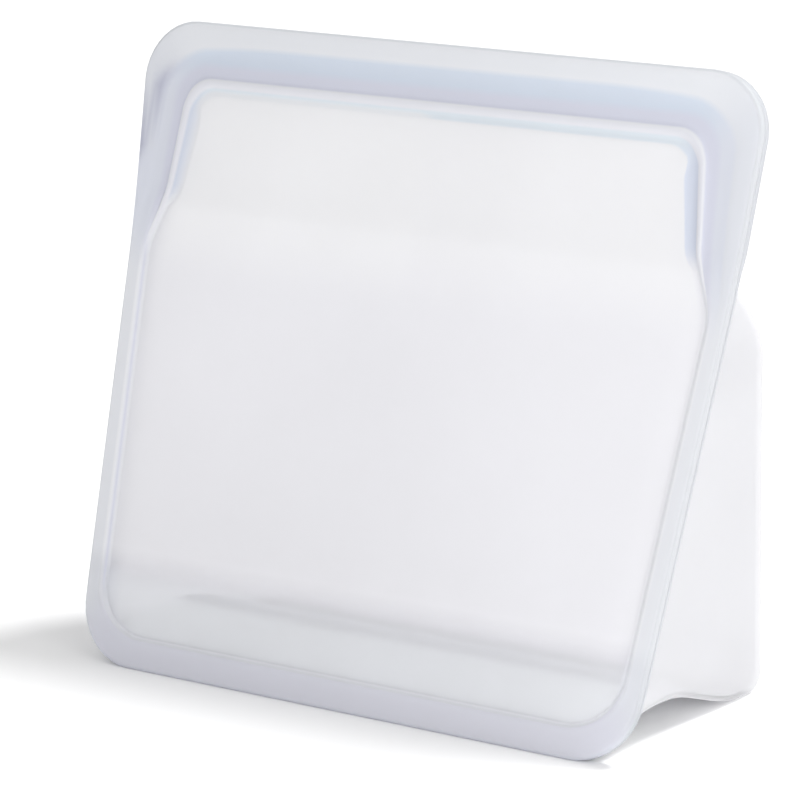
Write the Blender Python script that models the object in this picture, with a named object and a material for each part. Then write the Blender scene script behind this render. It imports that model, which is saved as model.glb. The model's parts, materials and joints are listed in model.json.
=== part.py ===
"""Stand-up silicone bag: a flat flanged front sheet bonded to a moulded back tray.

The tray has a back wall with a round shoulder, two side gussets and an arched base gusset.
Above the shoulder crease both sheets lie flat against each other and a pinch lock closes the
mouth: a ridge on the front lip presses into a channel on the back lip, in an inverted U.

Two things move. The front lip bends forward at the knee of the front sheet to open the mouth,
and the back wall swings forward on the shoulder's crease when the bag folds flat. The moving
pieces have their origins on those two lines.

Sheet coordinates: x across the bag, s up the slope of the front face from the foot,
n through the sheet, 0 on the front face and growing towards the back.
World: +X to the bag's right, +Y to its back, +Z up, origin under the middle of its box.
"""

import math

import bmesh
import bpy
from mathutils import Vector

MM = 0.001
GAP = 0.3 * MM

# Outline of the flat sheet
HALF_WIDTH_FOOT = 87.5 * MM
HALF_WIDTH_TOP = 98.5 * MM
SLANT = 178.3 * MM
SIDE_SLOPE = (HALF_WIDTH_TOP - HALF_WIDTH_FOOT) / SLANT
TOP_RADIUS_OUTER = 16 * MM
TOP_RADIUS_INNER = 9 * MM
FOOT_RADIUS_OUTER = 18 * MM
FOOT_RADIUS_INNER = 14 * MM
INSET_PANEL_MOUTH = 19 * MM
RIM_WIDTH = 6.5 * MM
CORNER_STEPS = 8
S_FOOT = -0.5 * MM  # the foot is drawn a little long and cut level with the floor

# How the front face leans back: straight below the knee, less steep above it
LEAN_LOWER = math.radians(17.67)
LEAN_UPPER = math.radians(13.2)
S_KNEE = 125 * MM
KNEE_HALF_SPAN = 16 * MM
KNEE_STEPS = 4
KNEE_TOP = S_KNEE + KNEE_HALF_SPAN
S_FOOT_CORNER_END = 24 * MM

# Thickness of the front sheet and of the back lip, from n to n
RIM_THICK = 2.2 * MM
PANEL_FRONT_N = 0.3 * MM
PANEL_BACK_N = 1.8 * MM
BOND_BACK_N = 4.0 * MM
LIP_FRONT_N = RIM_THICK + GAP
LIP_BACK_N = 4.7 * MM
LIP_PANEL_FRONT_N = 2.8 * MM
LIP_PANEL_BACK_N = 4.4 * MM
CHANNEL_BACK_N = 6.2 * MM
GROOVE_FLOOR_N = 5.0 * MM
RIDGE_TIP_N = 4.6 * MM
BEAD_FRONT_N = -0.4 * MM

# Insets of the lock parts from the sheet's outer edge
BAND_INSET = (RIM_WIDTH + GAP, 14.9 * MM)
BEAD_INSET = (15.2 * MM, INSET_PANEL_MOUTH - GAP)
CHANNEL_INSET = (RIM_WIDTH + GAP, 15 * MM)
GROOVE_INSET = (9.6 * MM, 12.6 * MM)
RIDGE_INSET = (10.2 * MM, 12.0 * MM)
BOND_INSET = (2.2 * MM, 6.2 * MM)

# Heights up the slope where things start and end
S_LOCK_END = 131 * MM
S_CURVE_START = 109 * MM
S_CURVE_END = S_LOCK_END - GAP
S_LIP_START = S_KNEE + 1.2 * MM
NECK_STEPS = 8

# Back tray, seen from the side: distances back from the front foot, and heights
TRAY_SKIN = 1.5 * MM
HALF_WIDTH_TRAY = 81 * MM
TRAY_SLOPE = SIDE_SLOPE / math.cos(LEAN_LOWER)
DEPTH = 81 * MM
Y_SHIFT = -DEPTH / 2
BACK_FOOT_FRONT = 68 * MM
BACK_CORNER_RADIUS = 5.5 * MM
BACK_CORNER_STEPS = 5
BACK_LEAN = math.radians(8.2)
SHOULDER_START_Z = 82 * MM
SHOULDER_END = (43.6 * MM, 119.6 * MM)
CREASE = (42.9 * MM, 119 * MM)
SHOULDER_PULL_START = 17 * MM
SHOULDER_PULL_END = 12 * MM
SHOULDER_END_SLOPE = math.radians(29)
SHOULDER_STEPS = 12
BASE_CURVE = ((7.9 * MM, 7.5 * MM), (26 * MM, 11 * MM), (45 * MM, 6.5 * MM), (67.1 * MM, 0))
BASE_STEPS = 14
GUSSET_FOOT_S = 7.9 * MM
GUSSET_TOP_S = 122.5 * MM

CLEAR_SILICONE = (0.84, 0.85, 0.89, 1)
EDGE_SILICONE = (0.76, 0.78, 0.86, 1)
LOCK_SILICONE = (0.66, 0.70, 0.84, 1)


def clear_scene():
    for obj in list(bpy.data.objects):
        bpy.data.objects.remove(obj, do_unlink=True)


def material(name, colour):
    mat = bpy.data.materials.new(name)
    mat.use_nodes = True
    shader = mat.node_tree.nodes["Principled BSDF"]
    shader.inputs["Base Color"].default_value = colour
    shader.inputs["Roughness"].default_value = 0.45
    shader.inputs["Metallic"].default_value = 0
    return mat


def lean_at(s):
    share = (s - S_KNEE + KNEE_HALF_SPAN) / (2 * KNEE_HALF_SPAN)
    share = min(1, max(0, share))
    return LEAN_LOWER + (LEAN_UPPER - LEAN_LOWER) * share


def front_face(s):
    """Distance back and height of the front face at s up the slope."""
    s_bend = S_KNEE - KNEE_HALF_SPAN
    s_straight = S_KNEE + KNEE_HALF_SPAN
    low = min(s, s_bend)
    y = low * math.sin(LEAN_LOWER)
    z = low * math.cos(LEAN_LOWER)
    if s > s_bend:
        radius = 2 * KNEE_HALF_SPAN / (LEAN_LOWER - LEAN_UPPER)
        lean = lean_at(s)
        y += radius * (math.cos(lean) - math.cos(LEAN_LOWER))
        z += radius * (math.sin(LEAN_LOWER) - math.sin(lean))
    if s > s_straight:
        y += (s - s_straight) * math.sin(LEAN_UPPER)
        z += (s - s_straight) * math.cos(LEAN_UPPER)
    return y, z


def sheet_point(x, s, n):
    y, z = front_face(s)
    lean = lean_at(s)
    return Vector((x, y + n * math.cos(lean) + Y_SHIFT, z - n * math.sin(lean)))


def steps_between(low, high, count):
    return [low + (high - low) * i / count for i in range(count + 1)]


def side_x(inset, s):
    return HALF_WIDTH_FOOT + SIDE_SLOPE * s - inset * math.hypot(1, SIDE_SLOPE)


def mix(a, b, share):
    return a + (b - a) * min(1, share)


def top_radius(inset):
    return mix(TOP_RADIUS_OUTER, TOP_RADIUS_INNER, inset / INSET_PANEL_MOUTH)


def foot_radius(inset):
    return mix(FOOT_RADIUS_OUTER, FOOT_RADIUS_INNER, inset / RIM_WIDTH)


def top_corner(inset, angle, sign):
    """Point of the top corner, angle from the side (0) to the top edge (90 degrees)."""
    radius = top_radius(inset)
    s_centre = SLANT - inset - radius
    x_centre = side_x(inset + radius, s_centre)
    return sign * (x_centre + radius * math.cos(angle)), s_centre + radius * math.sin(angle)


def foot_corner(inset, angle, sign):
    """Point of the bottom corner, angle from the side (0) to the bottom edge (90 degrees)."""
    radius = foot_radius(inset)
    s_centre = S_FOOT + inset + radius
    x_centre = side_x(inset + radius, s_centre)
    return sign * (x_centre + radius * math.cos(angle)), s_centre - radius * math.sin(angle)


def corner_angles():
    return steps_between(0, math.pi / 2, CORNER_STEPS)


def neck_inset(s, inset_high):
    """Inset of a panel's edge: the rim's below the neck, inset_high above it, an S-curve between."""
    t = (s - S_CURVE_START) / (S_CURVE_END - S_CURVE_START)
    t = min(1, max(0, t))
    return mix(RIM_WIDTH + GAP, inset_high, t * t * (3 - 2 * t))


def rows_between(low, high, with_neck):
    """Heights up the slope from low to high, with those where the edge curves or the sheet bends."""
    if with_neck:
        bends = steps_between(S_CURVE_START, S_CURVE_END, NECK_STEPS) + [S_LOCK_END, KNEE_TOP]
    else:
        bends = steps_between(S_KNEE - KNEE_HALF_SPAN, KNEE_TOP, KNEE_STEPS)
    margin = 0.2 * MM
    return [low] + [s for s in bends if low + margin < s < high - margin] + [high]


def leg_station(s, sign, stretch):
    return lambda inset: (sign * side_x(inset * stretch, s), s)


def leg_stations(low, high, sign, ear_inset):
    """Stations up one side; with an ear, the rim's inner edge follows the neck up to the lock."""
    stations = []
    for s in rows_between(low, high, ear_inset is not None):
        stretch = 1
        if ear_inset and s < S_LOCK_END:
            stretch = (neck_inset(s, ear_inset) - GAP) / RIM_WIDTH
        stations.append(leg_station(s, sign, stretch))
    return stations


def corner_station(corner, angle, sign):
    return lambda inset: corner(inset, angle, sign)


def top_u_stations(low, ear_inset=None):
    """Stations of an inverted U: up the right leg, round the top, down the left leg."""
    angles = corner_angles()
    stations = leg_stations(low, KNEE_TOP, 1, ear_inset)
    stations += [corner_station(top_corner, a, 1) for a in angles]
    stations += [corner_station(top_corner, a, -1) for a in reversed(angles)]
    stations += reversed(leg_stations(low, KNEE_TOP, -1, ear_inset))
    return stations


def foot_u_stations(high, ear_inset=None):
    """Stations of an upright U: down the left leg, round the foot, up the right leg."""
    angles = corner_angles()
    stations = list(reversed(leg_stations(S_FOOT_CORNER_END, high, -1, ear_inset)))
    stations += [corner_station(foot_corner, a, -1) for a in angles]
    stations += [corner_station(foot_corner, a, 1) for a in reversed(angles)]
    stations += leg_stations(S_FOOT_CORNER_END, high, 1, ear_inset)
    return stations


def add_object(name, bm, mat, origin=Vector((0, 0, 0))):
    bmesh.ops.remove_doubles(bm, verts=bm.verts, dist=0.01 * MM)
    bmesh.ops.recalc_face_normals(bm, faces=bm.faces)
    bmesh.ops.translate(bm, verts=bm.verts, vec=-origin)
    mesh = bpy.data.meshes.new(name)
    bm.to_mesh(mesh)
    bm.free()
    obj = bpy.data.objects.new(name, mesh)
    obj.location = origin
    obj.data.materials.append(mat)
    bpy.context.scene.collection.objects.link(obj)
    return obj


def loft(rings):
    """Joins rings of points into one skin with end caps."""
    bm = bmesh.new()
    rows = [[bm.verts.new(p) for p in ring] for ring in rings]
    for here, there in zip(rows, rows[1:]):
        for j in range(len(here)):
            k = (j + 1) % len(here)
            bm.faces.new((here[j], here[k], there[k], there[j]))
    bm.faces.new(rows[0])
    bm.faces.new(list(reversed(rows[-1])))
    return bm


def sweep(section, stations):
    """Carries a section of (inset, n) points through the stations of the sheet."""
    rings = []
    for station in stations:
        ring = []
        for inset, n in section:
            x, s = station(inset)
            ring.append(sheet_point(x, s, n))
        rings.append(ring)
    return loft(rings)


def block(insets, front_n, back_n):
    a, b = insets
    return [(a, front_n), (b, front_n), (b, back_n), (a, back_n)]


def cut_at_floor(bm):
    geom = list(bm.verts) + list(bm.edges) + list(bm.faces)
    bmesh.ops.bisect_plane(bm, geom=geom, plane_co=(0, 0, 0), plane_no=(0, 0, 1), clear_inner=True)
    bmesh.ops.holes_fill(bm, edges=[e for e in bm.edges if e.is_boundary], sides=0)


def panel(inset_high, low, high, front_n, back_n):
    """A panel between the rims, from low to high, or to its rounded corners where those are None."""
    foot = [foot_corner(RIM_WIDTH + GAP, a, 1) for a in reversed(corner_angles())]
    top = [top_corner(inset_high, a, 1) for a in corner_angles()]
    rows = rows_between(low or foot[-1][1] + MM, high or top[0][1] - MM, with_neck=True)
    side = [(side_x(neck_inset(s, inset_high), s), s) for s in rows]
    if low is None:
        side = foot + side
    if high is None:
        side = side + top
    rings = []
    for half, s in side:
        corners = ((-half, front_n), (half, front_n), (half, back_n), (-half, back_n))
        rings.append([sheet_point(x, s, n) for x, n in corners])
    return loft(rings)


def bezier(p0, p1, p2, p3, steps):
    points = []
    for i in range(steps + 1):
        t = i / steps
        weights = ((1 - t) ** 3, 3 * t * (1 - t) ** 2, 3 * t * t * (1 - t), t ** 3)
        y = sum(w * p[0] for w, p in zip(weights, (p0, p1, p2, p3)))
        z = sum(w * p[1] for w, p in zip(weights, (p0, p1, p2, p3)))
        points.append((y, z))
    return points


def back_profile():
    """Outer line of the back wall, from its foot on the floor up to the shoulder's crease."""
    radius = BACK_CORNER_RADIUS
    centre_y = DEPTH - radius * math.cos(BACK_LEAN)
    points = [(BACK_FOOT_FRONT, 0)]
    for i in range(BACK_CORNER_STEPS + 1):
        angle = -math.pi / 2 + (math.pi / 2 + BACK_LEAN) * i / BACK_CORNER_STEPS
        points.append((centre_y + radius * math.cos(angle), radius + radius * math.sin(angle)))
    y, z = points[-1]
    start = (y - (SHOULDER_START_Z - z) * math.tan(BACK_LEAN), SHOULDER_START_Z)
    end = SHOULDER_END
    pull_start = (
        start[0] - SHOULDER_PULL_START * math.sin(BACK_LEAN),
        start[1] + SHOULDER_PULL_START * math.cos(BACK_LEAN),
    )
    pull_end = (
        end[0] + SHOULDER_PULL_END * math.cos(SHOULDER_END_SLOPE),
        end[1] - SHOULDER_PULL_END * math.sin(SHOULDER_END_SLOPE),
    )
    return points + bezier(start, pull_start, pull_end, end, SHOULDER_STEPS)


def offset_line(points, distance):
    """The line moved sideways by distance, to the left of its direction."""
    moved = []
    for i, (y, z) in enumerate(points):
        before = points[max(0, i - 1)]
        after = points[min(len(points) - 1, i + 1)]
        along = Vector((after[0] - before[0], after[1] - before[1])).normalized()
        moved.append((y - along.y * distance, z + along.x * distance))
    return moved


def tray_half_width(z):
    return HALF_WIDTH_TRAY + TRAY_SLOPE * z


def tray_sheet(outer, inner, margin):
    """A wall of the tray across its width, between two lines seen from the side."""
    rings = []
    for (y0, z0), (y1, z1) in zip(outer, inner):
        half0 = tray_half_width(z0) - margin
        half1 = tray_half_width(z1) - margin
        corners = ((-half0, y0, z0), (half0, y0, z0), (half1, y1, z1), (-half1, y1, z1))
        rings.append([Vector((x, y + Y_SHIFT, z)) for x, y, z in corners])
    return loft(rings)


def side_gusset(sign):
    """One side wall: a flat plate cut to the base's arch, the front sheet and the back wall."""
    arch = bezier(*BASE_CURVE, BASE_STEPS)
    start_y, start_z = sheet_line(GUSSET_FOOT_S)
    arch = [(y, z) for y, z in arch if y > start_y + MM]
    back = offset_line(back_profile(), TRAY_SKIN + GAP)
    top = sheet_line(GUSSET_TOP_S)
    back = [(y, z) for y, z in back if z < top[1] - MM]
    knee = sheet_line(S_KNEE - KNEE_HALF_SPAN)
    outline = [(start_y, start_z)] + arch + back + [top, knee]
    bm = bmesh.new()
    skins = []
    for depth in (0, TRAY_SKIN):
        skin = []
        for y, z in outline:
            x = sign * (tray_half_width(z) - depth)
            skin.append(bm.verts.new((x, y + Y_SHIFT, z)))
        skins.append(skin)
    sides = [bm.faces.new(skins[0]), bm.faces.new(list(reversed(skins[1])))]
    for i in range(len(outline)):
        k = (i + 1) % len(outline)
        bm.faces.new((skins[0][i], skins[0][k], skins[1][k], skins[1][i]))
    bmesh.ops.poke(bm, faces=sides)
    return bm


def sheet_line(s):
    """Distance back and height just behind the bonded edge, at s up the slope."""
    point = sheet_point(0, s, BOND_BACK_N + GAP)
    return point.y - Y_SHIFT, point.z


def build_front(clear, edge):
    stations = foot_u_stations(S_KNEE - GAP / 2, INSET_PANEL_MOUTH)
    rim = sweep(block((0, RIM_WIDTH), 0, RIM_THICK), stations)
    cut_at_floor(rim)
    add_object("front_rim", rim, edge)
    bond = sweep(block(BOND_INSET, RIM_THICK + GAP, BOND_BACK_N), foot_u_stations(S_KNEE - GAP))
    add_object("front_bond_flange", bond, edge)
    sheet = panel(INSET_PANEL_MOUTH, None, S_KNEE - GAP / 2, PANEL_FRONT_N, PANEL_BACK_N)
    add_object("front_panel", sheet, clear)


def build_front_lip(clear, edge, lock):
    hinge = sheet_point(0, S_KNEE, 0)
    stations = top_u_stations(S_KNEE + GAP / 2, INSET_PANEL_MOUTH)
    rim = sweep(block((0, RIM_WIDTH), 0, RIM_THICK), stations)
    add_object("front_lip_rim", rim, edge, hinge)
    sheet = panel(INSET_PANEL_MOUTH, S_KNEE + GAP / 2, None, PANEL_FRONT_N, PANEL_BACK_N)
    add_object("front_lip_panel", sheet, clear, hinge)
    stations = top_u_stations(S_LOCK_END)
    band = sweep(block(BAND_INSET, PANEL_FRONT_N, RIM_THICK), stations)
    add_object("front_lock_band", band, lock, hinge)
    bead = sweep(block(BEAD_INSET, BEAD_FRONT_N, RIM_THICK), stations)
    add_object("front_inner_bead", bead, lock, hinge)
    ridge = sweep(block(RIDGE_INSET, LIP_FRONT_N, RIDGE_TIP_N), stations)
    add_object("front_lock_ridge", ridge, lock, hinge)


def build_back_lip(clear, edge, lock):
    inset = CHANNEL_INSET[1] + GAP
    stations = top_u_stations(S_LIP_START, inset)
    flange = sweep(block((0, RIM_WIDTH), LIP_FRONT_N, LIP_BACK_N), stations)
    add_object("back_lip_flange", flange, edge)
    sheet = panel(inset, S_LIP_START, None, LIP_PANEL_FRONT_N, LIP_PANEL_BACK_N)
    add_object("back_lip_panel", sheet, clear)
    outer, inner = CHANNEL_INSET
    groove_outer, groove_inner = GROOVE_INSET
    section = [
        (outer, LIP_FRONT_N),
        (groove_outer, LIP_FRONT_N),
        (groove_outer, GROOVE_FLOOR_N),
        (groove_inner, GROOVE_FLOOR_N),
        (groove_inner, LIP_FRONT_N),
        (inner, LIP_FRONT_N),
        (inner, CHANNEL_BACK_N),
        (outer, CHANNEL_BACK_N),
    ]
    add_object("back_lock_channel", sweep(section, top_u_stations(S_LOCK_END)), lock)


def build_tray(clear):
    hinge = Vector((0, CREASE[0] + Y_SHIFT, CREASE[1]))
    outer = back_profile()
    add_object("back_wall", tray_sheet(outer, offset_line(outer, TRAY_SKIN), 0), clear, hinge)
    under = bezier(*BASE_CURVE, BASE_STEPS)
    base = tray_sheet(under, offset_line(under, TRAY_SKIN), TRAY_SKIN + GAP)
    add_object("base_gusset", base, clear)
    add_object("side_gusset_right", side_gusset(1), clear)
    add_object("side_gusset_left", side_gusset(-1), clear)


def main():
    clear_scene()
    clear = material("clear_silicone", CLEAR_SILICONE)
    edge = material("edge_silicone", EDGE_SILICONE)
    lock = material("lock_silicone", LOCK_SILICONE)
    build_front(clear, edge)
    build_front_lip(clear, edge, lock)
    build_back_lip(clear, edge, lock)
    build_tray(clear)


main()
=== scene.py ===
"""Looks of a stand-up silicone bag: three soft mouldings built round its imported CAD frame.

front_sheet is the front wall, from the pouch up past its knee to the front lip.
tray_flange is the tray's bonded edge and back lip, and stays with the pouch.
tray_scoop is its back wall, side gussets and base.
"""

import json
import math

import bmesh
import bpy
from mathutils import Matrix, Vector


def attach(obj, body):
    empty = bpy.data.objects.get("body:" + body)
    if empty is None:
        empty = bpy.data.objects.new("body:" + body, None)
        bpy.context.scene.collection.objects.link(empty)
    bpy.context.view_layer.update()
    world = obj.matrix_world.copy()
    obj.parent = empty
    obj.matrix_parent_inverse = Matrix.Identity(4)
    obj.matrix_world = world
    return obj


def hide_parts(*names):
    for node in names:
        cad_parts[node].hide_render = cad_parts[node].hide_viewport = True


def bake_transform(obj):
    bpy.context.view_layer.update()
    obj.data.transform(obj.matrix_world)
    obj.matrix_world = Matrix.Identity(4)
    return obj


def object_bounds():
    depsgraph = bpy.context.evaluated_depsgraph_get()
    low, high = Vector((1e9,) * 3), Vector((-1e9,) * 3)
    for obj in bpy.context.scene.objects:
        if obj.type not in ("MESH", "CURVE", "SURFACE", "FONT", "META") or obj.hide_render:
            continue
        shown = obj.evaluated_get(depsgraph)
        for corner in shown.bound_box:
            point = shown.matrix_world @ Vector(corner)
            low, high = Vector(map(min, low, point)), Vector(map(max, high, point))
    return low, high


MM = 0.001

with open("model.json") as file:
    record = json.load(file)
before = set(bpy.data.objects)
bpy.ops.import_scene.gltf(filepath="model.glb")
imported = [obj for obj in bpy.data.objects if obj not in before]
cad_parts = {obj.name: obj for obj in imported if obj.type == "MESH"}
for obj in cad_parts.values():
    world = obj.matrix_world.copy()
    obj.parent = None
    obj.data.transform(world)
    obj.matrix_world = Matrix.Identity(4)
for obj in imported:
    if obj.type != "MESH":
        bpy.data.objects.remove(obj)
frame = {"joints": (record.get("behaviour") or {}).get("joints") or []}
cad_low, cad_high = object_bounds()
FOOT_Y = cad_low.y
DEPTH = cad_high.y - cad_low.y


def joint_point(name):
    joint = next(j for j in frame["joints"] if j["name"] == name)
    return Vector(joint["pos_m"])


CREASE = joint_point("fold_flat")

# Outline of the flat sheet: s runs up its slope, n through it, from its front face to the back
HALF_WIDTH_FOOT = 87.5 * MM
HALF_WIDTH_TOP = 98.5 * MM
SLANT = 178.3 * MM
SIDE_SLOPE = (HALF_WIDTH_TOP - HALF_WIDTH_FOOT) / SLANT
S_FOOT = 0.4 * MM
FOOT_RADII = (18 * MM, 14 * MM)
TOP_RADII = (16 * MM, 6.5 * MM)
INSET_MOUTH = 19 * MM
FOOT_SHARE = 1.1
BODY_SHARE = 0.66
MOUTH_SHARE = 0.95
MOUTH_TAPER = (128 * MM, 157 * MM)
LEAN_LOWER = math.radians(17.67)
LEAN_UPPER = math.radians(13.2)
S_KNEE = 125 * MM
KNEE_HALF_SPAN = 16 * MM
BACK_LIP_START = 125.5 * MM

# Spans at the knee of the front sheet, along its slope, and through the tray; make_bag works out their
# points but nothing uses them
KNEE_BLEND = (118 * MM, 132 * MM)
TRAY_BLEND_S = 40 * MM
TRAY_BLEND_N = (6.4 * MM, 76 * MM)

# Rows and columns of the sheet's mesh. Rows are level from LEVEL_START up
CORNER_STEPS = 10
RUN_OUT_STEPS = 8
LEVEL_START = 38 * MM
NECK_START = (96 * MM, 99 * MM)
LEG_END = 143 * MM
BODY_STEPS = 9
LEG_STEPS = 22
COLUMNS = 28

# Where the section changes from the foot's to the sides' and from the sides' to the mouth's
FOOT_FADE = (4 * MM, 16 * MM)
NECK = (113 * MM, 133 * MM)
TINT_FADE = (106 * MM, 130 * MM)
LOCK_FADE = (127 * MM, 133 * MM)

# Tabs at the lock's ends. Widths and insets of sections are in millimetres
TAB_START = (126 * MM, 130 * MM)
TAB_END = (163 * MM, 172 * MM)
TAB_INSET = 18.8
TAB_WIDTH = 2.6

# How much further back than the body's section a point has to lie to belong to the lock's ridge
RIDGE_MARGIN = 0.3

# The lock band's outer boundary is pushed in round the corners of the mouth, in millimetres
BAND_EDGE = 6.5
BAND_SPAN = 4.1
BAND_ROUNDING = 2.6
BAND_AT_SIDE = 0.25
BAND_AT_TOP = 0.6
BAND_TURN = (130 * MM, 146 * MM)
BAND_RUN = 5

# Tints of the left leg: the lock's band, its deep outer streak, the groove below and the pale tab
LEG_FADE_S = (140 * MM, 150 * MM)
LEG_FADE_INSET = (8 * MM, 10 * MM)
STREAK_START = (134 * MM, 146 * MM)
STREAK_END = (158 * MM, 170 * MM)
STREAK_SLANT = (140 * MM, 166 * MM)
STREAK_INSET = 7.5 * MM
STREAK_SPAN = 3.2 * MM
STREAK_DEPTH = 0.95
GROOVE_START = (16 * MM, 26 * MM)
GROOVE_INSET = 7.9 * MM
GROOVE_SPAN = 0.9 * MM
PALE_TAB = 0.8
PALE_TAB_INSET = (18 * MM, 19 * MM)

# What lies close behind the silicone shows through it; what lies far behind is lost in its haze.
# The haze rises between two heights; the low panel's painted light fades between two places up the slope
LOWER_CLEARNESS = 1.0
UPPER_CLEARNESS = 0.25
HAZE_RISE = (23.5 * MM, 31.5 * MM)
LOW_RISE = (21 * MM, 30 * MM)
LOW_INSET = (8 * MM, 9 * MM)

# Tray, seen from the side: distances back from the front foot, and heights
TRAY_HALF_WIDTH = 81 * MM
TRAY_BULGE = 1.1 * MM
SHOULDER_BULGE = 3.2 * MM
SWELL_RUN = 30 * MM
SWELL_GAP = 6 * MM
SHOULDER_RISE = (84 * MM, 106 * MM)
TRAY_EDGE_RADIUS = 2.6 * MM
TRAY_EDGE_LEAST = 0.05 * MM
TRAY_EDGE_FADE = 0.10
TRAY_EDGE_CLOSE = 0.94
TRAY_SLOPE = SIDE_SLOPE / math.cos(LEAN_LOWER)
TRAY_SKIN = 1.4 * MM
CORNER_RADIUS = 5.5 * MM
BACK_LEAN = math.radians(8.2)
BACK_FOOT_FRONT = 68 * MM
SHOULDER_START_Z = 82 * MM
SHOULDER_PULL_START = 17 * MM
SHOULDER_PULL_END = 12 * MM
SHOULDER_END_SLOPE = math.radians(29)
FLANGE_BACK_N = 4 * MM
TRAY_S_RANGE = (7 * MM, 124 * MM)
TRAY_EDGE_STEPS = 5
TRAY_COLUMNS = 40
BACK_CORNER_STEPS = 10
BACK_WALL_STEPS = 12
SHOULDER_STEPS = 20

# Base: the ends and handles of its two curves, then its pleat along the fold, and the painted shade and
# light along the fold
BASE_START = (6.6 * MM, 6.8 * MM)
BASE_RISE = ((14 * MM, 8.6 * MM), (29 * MM, 10 * MM))
BASE_FOLD = (37 * MM, 8.7 * MM)
BASE_FALL = ((46 * MM, 7.2 * MM), (58 * MM, 1.6 * MM))
BASE_ROWS = 20
BASE_FOLD_SHARES = (0.86, 0.87)
BASE_FOLD_ROWS = 22
FOLD_STEP = 2.5 * MM
FOLD_TOP = 20 * MM
FOLD_RISE = (34 * MM, 36.8 * MM)
FOLD_FALL = (38 * MM, 58 * MM)
FOLD_ENDS = (72 * MM, 82 * MM)
# Where the base is painted: below a height, in from the sides, and its front, which is lightened
BASE_TINT_TOP = (15 * MM, 24 * MM)
BASE_TINT_ENDS = (77 * MM, 82 * MM)
BASE_LIGHTENED_FRONT = (30 * MM, 34 * MM)
BASE_CLEARNESS_LOSS = 0.8
BASE_GREEN = 0.01
BASE_BLUE = 0.92
# Painted shade along the fold: where each stripe starts and ends across it, and how much it darkens; the
# negative one is a painted pale line
FOLD_PAINTED_STRIPES = (
    ((32.2 * MM, 33.2 * MM), (33.9 * MM, 34.1 * MM), 0.14),
    ((34.1 * MM, 34.4 * MM), (34.95 * MM, 35.15 * MM), -0.08),
    ((35.15 * MM, 35.35 * MM), (35.8 * MM, 38.4 * MM), 0.28),
)
# Painted light: the base's front half is lightened against the shade that the front sheet casts on it
FRONT_PAINTED_LIGHT = 0.06

# Silicone of each piece: milkiness, clearness, and whether haze takes its clearness higher up
SILICONES = {
    "front_silicone": (0.25, 0.58, True),
    "flange_silicone": (0.35, 0.5, True),
    "tray_silicone": (0.45, 0.4, False),
}
# All silicone: index of refraction, shine, cloudiness, and the satin grain of its surface
SILICONE_IOR = 1.41
SILICONE_SHINE = 0.4
CLOUD_SCALE = 16
CLOUD_DETAIL = 3
CLOUD_SHADES = (0.97, 1.03)
GRAIN_SCALE = 1400
GRAIN_DETAIL = 4
GRAIN_ROUGHNESS = (0.38, 0.5)
GRAIN_STRENGTH = 0.25
GRAIN_DEPTH = 0.02 * MM

# Studio
FLOOR_HALF = 6
FLOOR_SHADE = 0.95
FLOOR_ROUGHNESS = 0.9
WORLD_STRENGTH = 0.69
SUN_POWER = 2.0
SUN_ANGLE = math.radians(15)
SUN_PLACE = (0.3, 0.385, 0.87)
# Area lamps: name, place, what it points at, diameter and power
LAMPS = (
    ("fill", (0.36, -0.20, 0.22), (0.04, 0, 0.09), 0.25, 0.38),
    ("front", (0.72, -0.78, 0.3), (0, 0, 0.09), 0.5, 1.0),
)
LENS = 178.7
SENSOR = 36
CAMERA_PLACE = (0.5778, FOOT_Y - 0.8141, 0.3137)
CAMERA_TURN = (math.radians(90 - 12.938), 0, math.radians(34.416))


def smooth(low, high, value):
    t = min(1, max(0, (value - low) / (high - low)))
    return t * t * (3 - 2 * t)


def mix(a, b, share):
    return a + (b - a) * share


def blend_tints(tint, other, share):
    return [mix(a, b, share) for a, b in zip(tint, other)]


def steps(low, high, count):
    return [mix(low, high, i / count) for i in range(count + 1)]


def lean_at(s):
    share = min(1, max(0, (s - S_KNEE + KNEE_HALF_SPAN) / (2 * KNEE_HALF_SPAN)))
    return mix(LEAN_LOWER, LEAN_UPPER, share)


def front_face(s):
    """Distance back and height of the front face at s up the slope."""
    bend = S_KNEE - KNEE_HALF_SPAN
    straight = S_KNEE + KNEE_HALF_SPAN
    low = min(s, bend)
    y = low * math.sin(LEAN_LOWER)
    z = low * math.cos(LEAN_LOWER)
    if s > bend:
        radius = 2 * KNEE_HALF_SPAN / (LEAN_LOWER - LEAN_UPPER)
        lean = lean_at(s)
        y += radius * (math.cos(lean) - math.cos(LEAN_LOWER))
        z += radius * (math.sin(LEAN_LOWER) - math.sin(lean))
    if s > straight:
        y += (s - straight) * math.sin(LEAN_UPPER)
        z += (s - straight) * math.cos(LEAN_UPPER)
    return y, z


def sheet_point(x, s, n):
    y, z = front_face(s)
    lean = lean_at(s)
    return Vector((x, FOOT_Y + y + n * math.cos(lean), z - n * math.sin(lean)))


def side_x(inset, s):
    return HALF_WIDTH_FOOT + SIDE_SLOPE * s - inset * math.hypot(1, SIDE_SLOPE)


def side_share(s):
    """How much of an inset is used at the sides: the rim and the lock narrow towards the neck."""
    rise = min(1, max(0, (s - MOUTH_TAPER[0]) / (MOUTH_TAPER[1] - MOUTH_TAPER[0])))
    return mix(BODY_SHARE, MOUTH_SHARE, rise)


def corner_at(inset, angle, radii, s_edge, up):
    """Point of a rounded corner, angle from the side (0) to the top or bottom edge (90 degrees)."""
    radius = mix(radii[0], radii[1], min(1, inset / INSET_MOUTH))
    end_inset = inset * (1 if up > 0 else FOOT_SHARE)
    s_centre = s_edge - up * (end_inset + radius)
    s = s_centre + up * radius * math.sin(angle)
    x_centre = side_x(inset * side_share(s) + radius, s_centre)
    return x_centre + radius * math.cos(angle), s


def run_out(inset, share):
    """Rows that ease from the slanting end of the foot's corner to the level rows above it."""
    s = mix(corner_at(inset, 0, FOOT_RADII, S_FOOT, -1)[1], LEVEL_START, share)
    return side_x(inset * side_share(s), s), s


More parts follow.
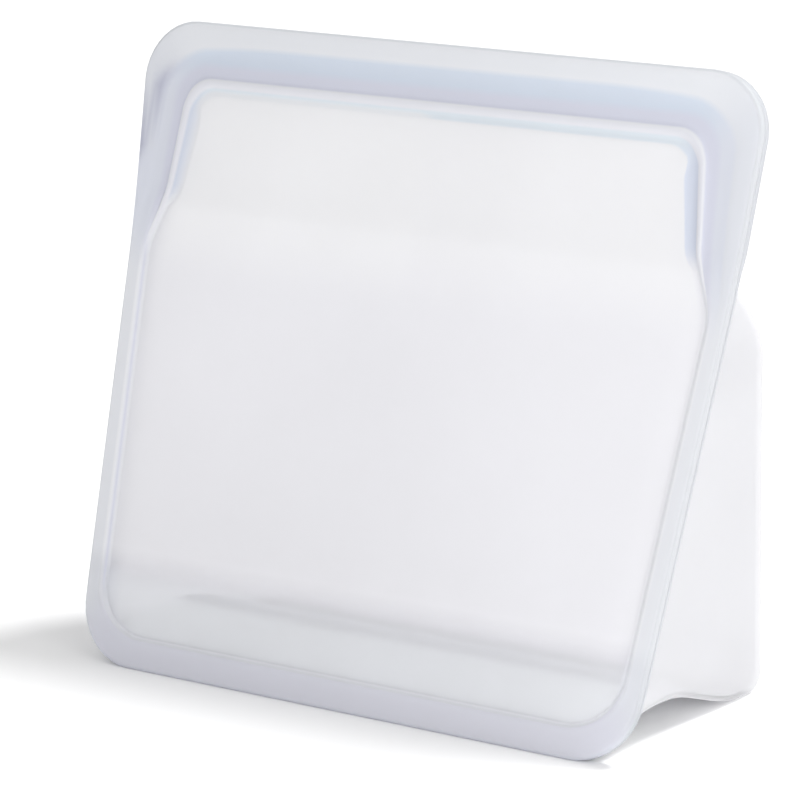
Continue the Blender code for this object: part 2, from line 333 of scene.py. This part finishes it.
class Station:
    """A place along the edge of the sheet where its section is drawn."""

    def __init__(self, at, angle=0):
        self.at = at
        self.top = math.sin(angle) ** 2
        s = at(0)[1]
        self.s = s
        turn = mix(BAND_AT_SIDE, BAND_AT_TOP, self.top) + (1 - BAND_AT_TOP) * math.sin(2 * angle)
        self.corner = turn * smooth(*BAND_TURN, s)
        self.side = smooth(*FOOT_FADE, s)
        self.mouth = smooth(*NECK, s)
        self.lock = smooth(*LOCK_FADE, s)
        self.tint = smooth(*TINT_FADE, s)
        self.tab = smooth(*TAB_START, s) * (1 - smooth(*TAB_END, s))


def half_edge():
    """Stations along the right edge, from the foot to the top."""
    stations = []
    angles = steps(0, math.pi / 2, CORNER_STEPS)
    for angle in reversed(angles):
        stations.append(Station(lambda inset, a=angle: corner_at(inset, a, FOOT_RADII, S_FOOT, -1)))
    for share in steps(0, 1, RUN_OUT_STEPS)[1:-1]:
        stations.append(Station(lambda inset, share=share: run_out(inset, share)))
    for s in steps(LEVEL_START, NECK_START[0], BODY_STEPS) + steps(NECK_START[1], LEG_END, LEG_STEPS):
        stations.append(Station(lambda inset, s=s: (side_x(inset * side_share(s), s), s)))
    for angle in angles:
        stations.append(Station(lambda inset, a=angle: corner_at(inset, a, TOP_RADII, SLANT, 1), angle))
    return stations


# Tints of the silicone: it looks deeper and bluer where it is thick. The last number is how clear it is
TINTS = {
    "clear": (0.93, 0.928, 0.95, 1.0),
    # low is painted light: the lower panel is made paler, to lift the shade seen through it
    "low": (0.97, 0.975, 0.99, 1.0),
    "window": (0.965, 0.965, 0.975, 1.0),
    "light": (0.95, 0.955, 0.975, 0.6),
    "rim": (0.875, 0.885, 0.915, 0.4),
    "top_rim": (0.895, 0.905, 0.93, 0.4),
    "leg_rim": (0.83, 0.845, 0.885, 0.4),
    "tray": (0.925, 0.925, 0.935, 1.0),
    "edge": (0.71, 0.725, 0.75, 0.3),
    "blue": (0.74, 0.80, 0.89, 0.3),
    "lilac": (0.76, 0.77, 0.86, 0.3),
    "leg": (0.80, 0.82, 0.885, 0.3),
    "slot": (0.74, 0.78, 0.875, 0.4),
    "bead": (0.86, 0.86, 0.895, 0.3),
    "line": (0.80, 0.855, 0.90, 0.4),
    "lavender": (0.86, 0.86, 0.92, 0.4),
    "dim": (0.80, 0.81, 0.87, 0.3),
    "deep": (0.50, 0.51, 0.63, 0.2),
}

# Tints that change from the top of the mouth to its legs
LEG_TINTS = {"blue": "leg", "line": "slot", "top_rim": "leg_rim"}

# Sections of the front sheet, from the panel out to the edge and back in behind it: (inset, n, tint),
# in millimetres
FRONT_FOOT = (
    (20.0, 0.30, "clear"), (17.0, 0.36, "clear"), (14.0, 0.52, "clear"), (12.0, 0.70, "clear"),
    (10.4, 0.85, "clear"), (9.4, 0.95, "clear"), (8.6, 1.00, "clear"), (8.2, 0.98, "clear"),
    (7.8, 0.86, "light"), (7.5, 0.60, "light"), (7.2, 0.30, "light"), (6.9, 0.08, "lavender"),
    (6.5, 0.0, "lavender"), (6.0, 0.0, "lavender"), (5.4, 0.0, "lavender"), (4.6, 0.0, "lavender"),
    (3.6, 0.0, "lavender"), (2.4, 0.0, "lavender"), (1.9, 0.0, "lavender"), (1.4, 0.0, "lavender"),
    (0.9, 0.0, "lavender"), (0.3, 0.16, "dim"),
    (0.0, 0.6, "dim"), (0.0, 1.7, "dim"), (0.05, 2.15, "dim"), (0.6, 2.2, "rim"),
    (3.0, 2.2, "rim"), (4.0, 2.2, "rim"), (5.0, 2.2, "rim"), (6.0, 2.2, "rim"), (7.0, 2.2, "rim"),
    (9.0, 2.2, "rim"), (11.0, 2.15, "clear"), (14.0, 2.05, "clear"), (17.0, 1.9, "clear"),
    (20.0, 1.8, "clear"),
)
FRONT_SIDE = (
    (20.0, 0.30, "clear"), (17.5, 0.40, "clear"), (15.0, 0.62, "clear"), (12.8, 0.88, "clear"),
    (11.2, 1.08, "clear"), (10.0, 1.20, "clear"), (9.2, 1.24, "light"), (8.7, 1.18, "light"),
    (8.3, 0.98, "light"), (7.9, 0.68, "light"), (7.5, 0.40, "light"), (7.1, 0.18, "light"),
    (6.7, 0.06, "light"), (6.2, 0.0, "light"), (5.6, 0.0, "rim"), (4.8, 0.0, "rim"),
    (3.8, 0.0, "rim"), (2.4, 0.0, "rim"), (1.9, 0.0, "rim"), (1.4, 0.0, "rim"), (0.9, 0.0, "rim"),
    (0.3, 0.16, "edge"),
    (0.0, 0.6, "edge"), (0.0, 1.7, "edge"), (0.05, 2.15, "edge"), (0.6, 2.2, "rim"),
    (3.0, 2.2, "rim"), (4.0, 2.2, "rim"), (5.0, 2.2, "rim"), (6.0, 2.2, "rim"), (7.0, 2.2, "rim"),
    (9.0, 2.2, "rim"), (11.0, 2.2, "clear"), (14.0, 2.1, "clear"), (17.0, 1.95, "clear"),
    (20.0, 1.8, "clear"),
)
FRONT_MOUTH = (
    (24.0, 0.30, "window"), (22.0, 0.30, "window"), (21.0, 0.30, "window"), (20.2, 0.34, "window"),
    (19.6, 0.46, "line"), (19.1, 0.60, "line"), (18.1, 0.55, "line"), (17.5, 0.05, "bead"),
    (16.9, -0.22, "bead"), (16.3, -0.28, "bead"), (15.6, -0.20, "light"), (15.1, 0.25, "lilac"),
    (14.2, 0.45, "lilac"), (12.6, 0.5, "lilac"), (10.6, 0.5, "blue"), (8.6, 0.46, "blue"),
    (7.0, 0.30, "blue"), (5.6, 0.04, "top_rim"), (4.2, 0.0, "top_rim"), (2.4, 0.0, "top_rim"),
    (0.9, 0.0, "top_rim"), (0.3, 0.16, "edge"),
    (0.0, 0.6, "edge"), (0.0, 1.7, "edge"), (0.05, 2.15, "edge"), (0.6, 2.2, "top_rim"),
    (9.6, 2.2, "top_rim"), (10.1, 2.35, "blue"), (10.5, 4.1, "blue"), (11.1, 4.6, "blue"),
    (11.7, 4.1, "blue"), (12.1, 2.35, "blue"), (12.6, 2.2, "lilac"), (18.0, 2.1, "line"),
    (20.0, 1.85, "clear"), (24.0, 1.8, "clear"),
)
# Sections of the tray's edge and of the back lip, in the same order
FLANGE_FOOT = (
    (7.8, 2.5, "rim"), (7.4, 2.26, "rim"), (7.0, 2.24, "rim"), (6.4, 2.24, "rim"), (5.8, 2.24, "rim"),
    (5.2, 2.24, "rim"), (4.4, 2.24, "rim"), (1.2, 2.24, "rim"), (0.6, 2.26, "edge"),
    (0.1, 2.5, "edge"), (0.1, 3.3, "edge"), (0.7, 3.9, "rim"), (1.6, 4.0, "rim"), (3.0, 4.0, "rim"),
    (3.6, 4.0, "rim"), (4.2, 4.0, "rim"), (4.8, 4.0, "rim"), (5.4, 4.0, "rim"), (6.0, 4.0, "rim"),
    (6.6, 4.0, "rim"), (7.2, 3.98, "rim"), (7.8, 3.7, "rim"),
)
FLANGE_SIDE = (
    (11.6, 2.5, "rim"), (11.2, 2.26, "rim"), (10.0, 2.24, "rim"), (8.6, 2.24, "rim"), (7.4, 2.24, "rim"),
    (6.2, 2.24, "rim"), (5.0, 2.24, "rim"), (1.2, 2.24, "rim"), (0.6, 2.26, "edge"),
    (0.1, 2.5, "edge"), (0.1, 3.3, "edge"), (0.7, 3.9, "rim"), (1.6, 4.0, "rim"), (3.0, 4.0, "rim"),
    (4.2, 4.0, "rim"), (5.4, 4.0, "rim"), (6.6, 4.0, "rim"), (7.8, 4.0, "rim"), (8.8, 4.0, "rim"),
    (9.8, 4.0, "rim"), (11.0, 3.98, "rim"), (11.6, 3.7, "rim"),
)
FLANGE_MOUTH = (
    (21.0, 2.8, "window"), (19.6, 2.8, "window"), (15.2, 2.6, "lilac"), (13.0, 2.4, "lilac"),
    (12.7, 4.85, "blue"), (9.5, 4.85, "blue"), (9.2, 2.4, "blue"), (1.2, 2.24, "rim"),
    (0.4, 2.3, "edge"), (0.0, 2.7, "edge"), (0.0, 4.1, "edge"), (0.6, 4.6, "rim"), (2.0, 4.7, "rim"),
    (6.0, 4.75, "rim"), (6.9, 5.4, "blue"), (7.6, 6.05, "blue"), (8.6, 6.2, "blue"),
    (13.2, 6.2, "lilac"), (14.2, 6.0, "lilac"), (14.9, 5.2, "line"), (15.6, 4.5, "window"),
    (21.0, 4.4, "window"),
)


def far_leg_tint(inset, s, tint):
    """On the left leg of the mouth only, the tints are deepened out to the edge, deepest in a streak
    along its outer side.
    """
    leg = 1 - smooth(*LEG_FADE_S, s)
    leg *= smooth(*TINT_FADE, s) * (1 - smooth(*LEG_FADE_INSET, inset))
    tint = blend_tints(tint, TINTS["leg"], leg)
    groove = max(0, 1 - abs(inset - GROOVE_INSET) / GROOVE_SPAN) * (1 - smooth(*TINT_FADE, s))
    groove *= smooth(*GROOVE_START, s)
    tint = blend_tints(tint, TINTS["lilac"], groove)
    pale = PALE_TAB * smooth(*TINT_FADE, s) * smooth(*PALE_TAB_INSET, inset)
    tint = blend_tints(tint, TINTS["window"], pale)
    middle = STREAK_INSET * (s - STREAK_SLANT[0]) / (STREAK_SLANT[1] - STREAK_SLANT[0])
    near = max(0, 1 - abs(inset - middle) / STREAK_SPAN)
    streak = STREAK_DEPTH * near * smooth(*STREAK_START, s) * (1 - smooth(*STREAK_END, s))
    return blend_tints(tint, TINTS["deep"], streak)


def section_at(profiles, station, run=0):
    """The section at a station, between those of the foot, the sides and the mouth.

    The band's outer boundary turns the corner gently, easing out over a run of columns along the top.
    """
    points = []
    corner = station.corner * max(0, 1 - run / BAND_RUN) ** 2
    for foot, side, mouth in zip(*profiles):
        near_band = max(0, 1 - abs(mouth[0] - BAND_EDGE) / BAND_SPAN)
        mouth_inset = mouth[0] + BAND_ROUNDING * near_band * corner
        mouth_inset += TAB_WIDTH * station.tab * (mouth[0] > TAB_INSET)
        inset = mix(mix(foot[0], side[0], station.side), mouth_inset, station.mouth)
        ridge = mouth[1] > max(foot[1], side[1]) + RIDGE_MARGIN
        body_n = mix(foot[1], side[1], station.side)
        n = mix(body_n, mouth[1], station.lock if ridge else station.mouth)
        body_tint = blend_tints(TINTS[foot[2]], TINTS[side[2]], station.side)
        mouth_tint = TINTS[mouth[2]]
        if mouth[2] in LEG_TINTS:
            mouth_tint = blend_tints(TINTS[LEG_TINTS[mouth[2]]], mouth_tint, station.top)
        fade = station.lock if mouth[2] == "line" else station.tint
        points.append((inset * MM, n * MM, blend_tints(body_tint, mouth_tint, fade)))
    return points


def edge_loop(last):
    """Places round the sheet's edge, as (row, column): up one side, across the top, down and back."""
    loop = [(i, 0) for i in range(last + 1)]
    loop += [(last, c) for c in range(1, COLUMNS)]
    loop += [(i, COLUMNS) for i in range(last, -1, -1)]
    loop += [(0, c) for c in range(COLUMNS - 1, 0, -1)]
    return loop


def moulded_sheet(name, profiles, fill_from=0):
    """A sheet drawn as sections all round its edge, filled across from row fill_from upwards."""
    half = half_edge()
    last = len(half) - 1
    loop = edge_loop(last)
    bm = bmesh.new()
    tint_layer = bm.verts.layers.float_color.new("tint")

    def vertex(i, c, inset, n, tint):
        x, s = half[i].at(inset)
        x *= 1 - 2 * c / COLUMNS
        point = sheet_point(x, s, n)
        point.z = max(point.z, cad_low.z)
        vert = bm.verts.new(point)
        if x < 0:
            tint = far_leg_tint(inset, s, tint)
        # Painted light: the lower panel is made paler to lift the shade seen through it
        low = (1 - smooth(*LOW_RISE, s)) * smooth(*LOW_INSET, inset)
        vert[tint_layer] = blend_tints(tint, TINTS["low"], low)
        return vert

    chains = {}
    for i, c in loop:
        run = min(c, COLUMNS - c)
        chains[i, c] = [vertex(i, c, *point) for point in section_at(profiles, half[i], run)]
    for here, there in zip(loop, loop[1:] + loop[:1]):
        a = chains[here]
        b = chains[there]
        for j in range(len(a) - 1):
            bm.faces.new((a[j], a[j + 1], b[j + 1], b[j]))
        if min(here[0], there[0]) < fill_from:
            bm.faces.new((a[-1], a[0], b[0], b[-1]))
    for side in (0, -1):
        grid = {}
        for i in range(fill_from, last + 1):
            point = section_at(profiles, half[i])[side]
            for c in range(COLUMNS + 1):
                grid[i, c] = chains[i, c][side] if (i, c) in chains else vertex(i, c, *point)
        for i in range(fill_from, last):
            for c in range(COLUMNS):
                bm.faces.new((grid[i, c], grid[i, c + 1], grid[i + 1, c + 1], grid[i + 1, c]))
        if side == 0:
            front = grid
    if fill_from:
        i = fill_from
        for c in range(COLUMNS):
            bm.faces.new((front[i, c], front[i, c + 1], grid[i, c + 1], grid[i, c]))
    return finish_mesh(name, bm)


def finish_mesh(name, bm):
    bmesh.ops.recalc_face_normals(bm, faces=bm.faces)
    mesh = bpy.data.meshes.new(name)
    bm.to_mesh(mesh)
    bm.free()
    obj = bpy.data.objects.new(name, mesh)
    bpy.context.scene.collection.objects.link(obj)
    mesh.shade_smooth()
    return obj


def bezier(p0, p1, p2, p3, shares):
    points = []
    for t in shares:
        weights = ((1 - t) ** 3, 3 * t * (1 - t) ** 2, 3 * t * t * (1 - t), t ** 3)
        points.append(tuple(sum(w * p[k] for w, p in zip(weights, (p0, p1, p2, p3))) for k in (0, 1)))
    return points


def base_profile():
    """Outer line of the base from the side: up to the fold, and down to the back foot."""
    close_rows = steps(0, BASE_FOLD_SHARES[0], BASE_ROWS) + steps(BASE_FOLD_SHARES[1], 1, BASE_FOLD_ROWS)
    front_half = bezier(BASE_START, *BASE_RISE, BASE_FOLD, close_rows)
    back_half = bezier(BASE_FOLD, *BASE_FALL, (BACK_FOOT_FRONT, 0), steps(0, 1, BASE_ROWS))
    return front_half + back_half[1:]


def wall_profile():
    """Outer line of the back wall: round the foot, straight up and over the shoulder to the crease."""
    centre_y = DEPTH - CORNER_RADIUS * math.cos(BACK_LEAN)
    line = [(BACK_FOOT_FRONT, 0)]
    for angle in steps(-math.pi / 2, BACK_LEAN, BACK_CORNER_STEPS):
        y = centre_y + CORNER_RADIUS * math.cos(angle)
        line.append((y, CORNER_RADIUS + CORNER_RADIUS * math.sin(angle)))
    y, z = line[-1]
    rise = SHOULDER_START_Z - z
    line += [(y - h * math.tan(BACK_LEAN), z + h) for h in steps(0, rise, BACK_WALL_STEPS)[1:]]
    start = line[-1]
    end = (CREASE.y - FOOT_Y, CREASE.z)
    pull_start = (start[0] - SHOULDER_PULL_START * math.sin(BACK_LEAN),
                  start[1] + SHOULDER_PULL_START * math.cos(BACK_LEAN))
    pull_end = (end[0] + SHOULDER_PULL_END * math.cos(SHOULDER_END_SLOPE),
                end[1] - SHOULDER_PULL_END * math.sin(SHOULDER_END_SLOPE))
    return line + bezier(start, pull_start, pull_end, end, steps(0, 1, SHOULDER_STEPS))[1:]


def shares_along(line):
    lengths = [0]
    for (y0, z0), (y1, z1) in zip(line, line[1:]):
        lengths.append(lengths[-1] + math.hypot(y1 - y0, z1 - z0))
    return [length / lengths[-1] for length in lengths]


def fold_height(x, y):
    """The base is pleated along its fold: a low step that runs out towards the sides."""
    rise = smooth(*FOLD_RISE, y) * (1 - smooth(*FOLD_FALL, y))
    return FOLD_STEP * rise * (1 - smooth(*FOLD_ENDS, abs(x)))


def base_shaded_tint(x, y, z):
    """Painted shade and light on the base: a dark band up the step of the fold, for the shade behind the
    crease and partly for the doubled silicone, a painted pale line at its foot, and its front lightened
    against the shade cast by the front sheet.
    """
    base = (1 - smooth(*BASE_TINT_TOP, z)) * (1 - smooth(*BASE_TINT_ENDS, abs(x)))
    front = 1 - smooth(*BASE_LIGHTENED_FRONT, y)
    darker = sum(d * smooth(*start, y) * (1 - smooth(*end, y)) for start, end, d in FOLD_PAINTED_STRIPES)
    shade = 1 - base * (darker - FRONT_PAINTED_LIGHT * front)
    r, g, b, clear = TINTS["tray"]
    clear *= 1 - BASE_CLEARNESS_LOSS * base
    return r * shade, g * shade * (1 + BASE_GREEN * base * front), b * mix(1, shade, BASE_BLUE), clear


def tray_wide(y, z, inset):
    """Half width of the tray: its sides swell a little away from the flange."""
    front = front_face(z / math.cos(LEAN_LOWER))[0] + SWELL_GAP
    swell = TRAY_BULGE * smooth(0, SWELL_RUN, y - front) + SHOULDER_BULGE * smooth(*SHOULDER_RISE, z)
    return TRAY_HALF_WIDTH + TRAY_SLOPE * z + swell - inset


def rounded_edges(line):
    """For each point of the profile, the rounded edge beside it, as (inset, y, z)."""
    edges = []
    shares = shares_along(line)
    for i, (y, z) in enumerate(line):
        y0, z0 = line[max(0, i - 1)]
        y1, z1 = line[min(len(line) - 1, i + 1)]
        along = Vector((y1 - y0, z1 - z0)).normalized()
        share = shares[i]
        ends = smooth(0, TRAY_EDGE_FADE, share) * (1 - smooth(TRAY_EDGE_CLOSE, 1, share))
        radius = TRAY_EDGE_RADIUS * ends + TRAY_EDGE_LEAST
        edge = []
        for a in steps(0, math.pi / 2, TRAY_EDGE_STEPS):
            drop = radius * (1 - math.cos(a))
            edge.append((radius * (1 - math.sin(a)), y - along.y * drop, z + along.x * drop))
        edges.append(edge)
    return edges


def side_patch(base, wall):
    """Grid of (y, z) filling a side gusset between the base, the back wall and the flange."""
    across = shares_along(base)
    up = shares_along(wall)
    flange = []
    for v in up:
        point = sheet_point(0, mix(*TRAY_S_RANGE, v), FLANGE_BACK_N)
        flange.append((point.y - FOOT_Y, point.z))
    grid = []
    for j, v in enumerate(up):
        row = []
        for i, u in enumerate(across):
            pair = []
            for k in (0, 1):
                top = mix(flange[-1][k], wall[-1][k], u)
                ruled = mix(base[i][k], top, v) + mix(flange[j][k], wall[j][k], u)
                corners = mix(mix(base[0][k], base[-1][k], u), mix(flange[-1][k], wall[-1][k], u), v)
                pair.append(ruled - corners)
            row.append(tuple(pair))
        grid.append(row)
    return grid


def tray_scoop():
    """Back wall, rounded edges, side gussets and base as one skin."""
    base = base_profile()
    wall = wall_profile()
    line = base + wall[1:]
    edges = rounded_edges(line)
    foot = len(base) - 1
    inner = [edge[-1][1:] for edge in edges]
    grid = side_patch(inner[:foot + 1], inner[foot:])
    bm = bmesh.new()
    tint_layer = bm.verts.layers.float_color.new("tint")

    def vertex(x, y, z, tint):
        vert = bm.verts.new((x, FOOT_Y + y, z))
        vert[tint_layer] = tint
        return vert

    rows = []
    for edge, (y, z) in zip(edges, line):
        right = [(tray_wide(yy, zz, inset), yy, zz) for inset, yy, zz in edge]
        points = right[::-1]
        for f in steps(1, -1, TRAY_COLUMNS)[1:-1]:
            x = right[0][0] * f
            points.append((x, y, z + fold_height(x, y) * (z < FOLD_TOP)))
        points += [(-x, yy, zz) for x, yy, zz in right]
        # Each row takes the base's tint, with its painted shade and painted light
        rows.append([vertex(*point, base_shaded_tint(*point)) for point in points])
    for here, there in zip(rows, rows[1:]):
        for j in range(len(here) - 1):
            bm.faces.new((here[j], here[j + 1], there[j + 1], there[j]))
    for sign, end in ((1, 0), (-1, -1)):
        patch = []
        for j, row in enumerate(grid):
            verts = []
            for i, (y, z) in enumerate(row):
                if j == 0:
                    verts.append(rows[i][end])
                elif i == foot:
                    verts.append(rows[foot + j][end])
                else:
                    verts.append(vertex(sign * tray_wide(y, z, 0), y, z, TINTS["tray"]))
            patch.append(verts)
        for here, there in zip(patch, patch[1:]):
            for j in range(len(here) - 1):
                bm.faces.new((here[j], here[j + 1], there[j + 1], there[j]))
    obj = finish_mesh("tray_scoop", bm)
    skin = obj.modifiers.new("wall", "SOLIDIFY")
    skin.thickness = TRAY_SKIN
    skin.offset = -1
    return obj


def add_haze(nodes, links, place, clearness):
    """Clearness that falls from the foot up, as the back wall gets further behind the sheet."""
    height = nodes.new("ShaderNodeSeparateXYZ")
    links.new(place.outputs["Object"], height.inputs["Vector"])
    rise = nodes.new("ShaderNodeMapRange")
    rise.interpolation_type = "SMOOTHSTEP"
    rise.inputs["From Min"].default_value = HAZE_RISE[0]
    rise.inputs["From Max"].default_value = HAZE_RISE[1]
    rise.inputs["To Min"].default_value = LOWER_CLEARNESS * clearness
    rise.inputs["To Max"].default_value = UPPER_CLEARNESS * clearness
    links.new(height.outputs["Z"], rise.inputs["Value"])
    return rise.outputs["Result"]


def add_cloud(nodes, links, place, tint):
    """The tint with a slight cloudiness."""
    cloud = nodes.new("ShaderNodeTexNoise")
    cloud.inputs["Scale"].default_value = CLOUD_SCALE
    cloud.inputs["Detail"].default_value = CLOUD_DETAIL
    links.new(place.outputs["Object"], cloud.inputs["Vector"])
    shade = nodes.new("ShaderNodeMapRange")
    shade.inputs["To Min"].default_value = CLOUD_SHADES[0]
    shade.inputs["To Max"].default_value = CLOUD_SHADES[1]
    links.new(cloud.outputs["Fac"], shade.inputs["Value"])
    clouded = nodes.new("ShaderNodeMix")
    clouded.data_type = "RGBA"
    clouded.blend_type = "MULTIPLY"
    clouded.inputs["Factor"].default_value = 1
    links.new(tint.outputs["Color"], clouded.inputs["A"])
    links.new(shade.outputs["Result"], clouded.inputs["B"])
    return clouded.outputs["Result"]


def add_grain(nodes, links, place, shader):
    """Fine satin grain: it varies the roughness and bumps the surface a little."""
    grain = nodes.new("ShaderNodeTexNoise")
    grain.inputs["Scale"].default_value = GRAIN_SCALE
    grain.inputs["Detail"].default_value = GRAIN_DETAIL
    links.new(place.outputs["Object"], grain.inputs["Vector"])
    rough = nodes.new("ShaderNodeMapRange")
    rough.inputs["To Min"].default_value = GRAIN_ROUGHNESS[0]
    rough.inputs["To Max"].default_value = GRAIN_ROUGHNESS[1]
    links.new(grain.outputs["Fac"], rough.inputs["Value"])
    links.new(rough.outputs["Result"], shader.inputs["Roughness"])
    bump = nodes.new("ShaderNodeBump")
    bump.inputs["Strength"].default_value = GRAIN_STRENGTH
    bump.inputs["Distance"].default_value = GRAIN_DEPTH
    links.new(grain.outputs["Fac"], bump.inputs["Height"])
    links.new(bump.outputs["Normal"], shader.inputs["Normal"])


def silicone(name):
    """Milky silicone: part of the light is scattered back, part scattered through, part let through."""
    milkiness, clearness, hazy = SILICONES[name]
    mat = bpy.data.materials.new(name)
    mat.use_nodes = True
    nodes = mat.node_tree.nodes
    links = mat.node_tree.links
    shader = nodes["Principled BSDF"]
    shader.inputs["IOR"].default_value = SILICONE_IOR
    shader.inputs["Specular IOR Level"].default_value = SILICONE_SHINE
    place = nodes.new("ShaderNodeTexCoord")
    tint = nodes.new("ShaderNodeAttribute")
    tint.attribute_name = "tint"
    colour = add_cloud(nodes, links, place, tint)
    links.new(colour, shader.inputs["Base Color"])
    add_grain(nodes, links, place, shader)
    through = nodes.new("ShaderNodeBsdfTranslucent")
    links.new(colour, through.inputs["Color"])
    milky = nodes.new("ShaderNodeMixShader")
    milky.inputs["Fac"].default_value = milkiness
    links.new(shader.outputs["BSDF"], milky.inputs[1])
    links.new(through.outputs["BSDF"], milky.inputs[2])
    clear = nodes.new("ShaderNodeBsdfTransparent")
    links.new(colour, clear.inputs["Color"])
    share = nodes.new("ShaderNodeMath")
    share.operation = "MULTIPLY"
    links.new(tint.outputs["Alpha"], share.inputs[0])
    share.inputs[1].default_value = clearness
    if hazy:
        links.new(add_haze(nodes, links, place, clearness), share.inputs[1])
    whole = nodes.new("ShaderNodeMixShader")
    links.new(share.outputs["Value"], whole.inputs["Fac"])
    links.new(milky.outputs["Shader"], whole.inputs[1])
    links.new(clear.outputs["BSDF"], whole.inputs[2])
    links.new(whole.outputs["Shader"], nodes["Material Output"].inputs["Surface"])
    return mat


def make_bag():
    front = moulded_sheet("front_sheet", (FRONT_FOOT, FRONT_SIDE, FRONT_MOUTH))
    lip_row = next(i for i, station in enumerate(half_edge()) if station.s > BACK_LIP_START)
    flange = moulded_sheet("tray_flange", (FLANGE_FOOT, FLANGE_SIDE, FLANGE_MOUTH), lip_row)
    scoop = tray_scoop()
    front.data.materials.append(silicone("front_silicone"))
    flange.data.materials.append(silicone("flange_silicone"))
    scoop.data.materials.append(silicone("tray_silicone"))
    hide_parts("front_panel", "front_rim", "front_lip_panel", "front_lip_rim")
    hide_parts("front_lock_band", "front_inner_bead", "front_lock_ridge")
    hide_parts("front_bond_flange", "back_lip_flange", "back_lip_panel", "back_lock_channel")
    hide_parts("back_wall", "base_gusset", "side_gusset_left", "side_gusset_right")
    knee_start, knee_end = [sheet_point(0, s, 0) for s in KNEE_BLEND]
    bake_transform(front)
    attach(flange, "pouch")
    tray_front, tray_back = [sheet_point(0, TRAY_BLEND_S, n) for n in TRAY_BLEND_N]
    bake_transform(scoop)


def make_floor():
    mesh = bpy.data.meshes.new("floor")
    turns = ((-1, -1), (1, -1), (1, 1), (-1, 1))
    corners = [(x * FLOOR_HALF, y * FLOOR_HALF, cad_low.z) for x, y in turns]
    mesh.from_pydata(corners, [], [(0, 1, 2, 3)])
    floor = bpy.data.objects.new("floor", mesh)
    bpy.context.scene.collection.objects.link(floor)
    mat = bpy.data.materials.new("floor")
    mat.use_nodes = True
    shader = mat.node_tree.nodes["Principled BSDF"]
    shader.inputs["Base Color"].default_value = (FLOOR_SHADE, FLOOR_SHADE, FLOOR_SHADE, 1)
    shader.inputs["Roughness"].default_value = FLOOR_ROUGHNESS
    mesh.materials.append(mat)


def aim(lamp, place, target):
    lamp.location = place
    lamp.rotation_euler = (Vector(target) - Vector(place)).to_track_quat("-Z", "Y").to_euler()
    bpy.context.scene.collection.objects.link(lamp)


def make_light():
    world = bpy.data.worlds.new("studio")
    bpy.context.scene.world = world
    world.use_nodes = True
    background = world.node_tree.nodes["Background"]
    background.inputs["Color"].default_value = (1, 1, 1, 1)
    background.inputs["Strength"].default_value = WORLD_STRENGTH
    sun = bpy.data.lights.new("key", "SUN")
    sun.energy = SUN_POWER
    sun.angle = SUN_ANGLE
    aim(bpy.data.objects.new("key", sun), SUN_PLACE, (0, 0, 0))
    for name, place, target, size, power in LAMPS:
        lamp = bpy.data.lights.new(name, "AREA")
        lamp.shape = "DISK"
        lamp.size = size
        lamp.energy = power
        aim(bpy.data.objects.new(name, lamp), place, target)
    bpy.context.scene.view_settings.view_transform = "Standard"


def make_camera():
    data = bpy.data.cameras.new("camera")
    data.lens = LENS
    data.sensor_width = SENSOR
    camera = bpy.data.objects.new("camera", data)
    camera.location = CAMERA_PLACE
    camera.rotation_euler = CAMERA_TURN
    bpy.context.scene.collection.objects.link(camera)
    bpy.context.scene.camera = camera


make_camera()
make_floor()
make_light()
make_bag()
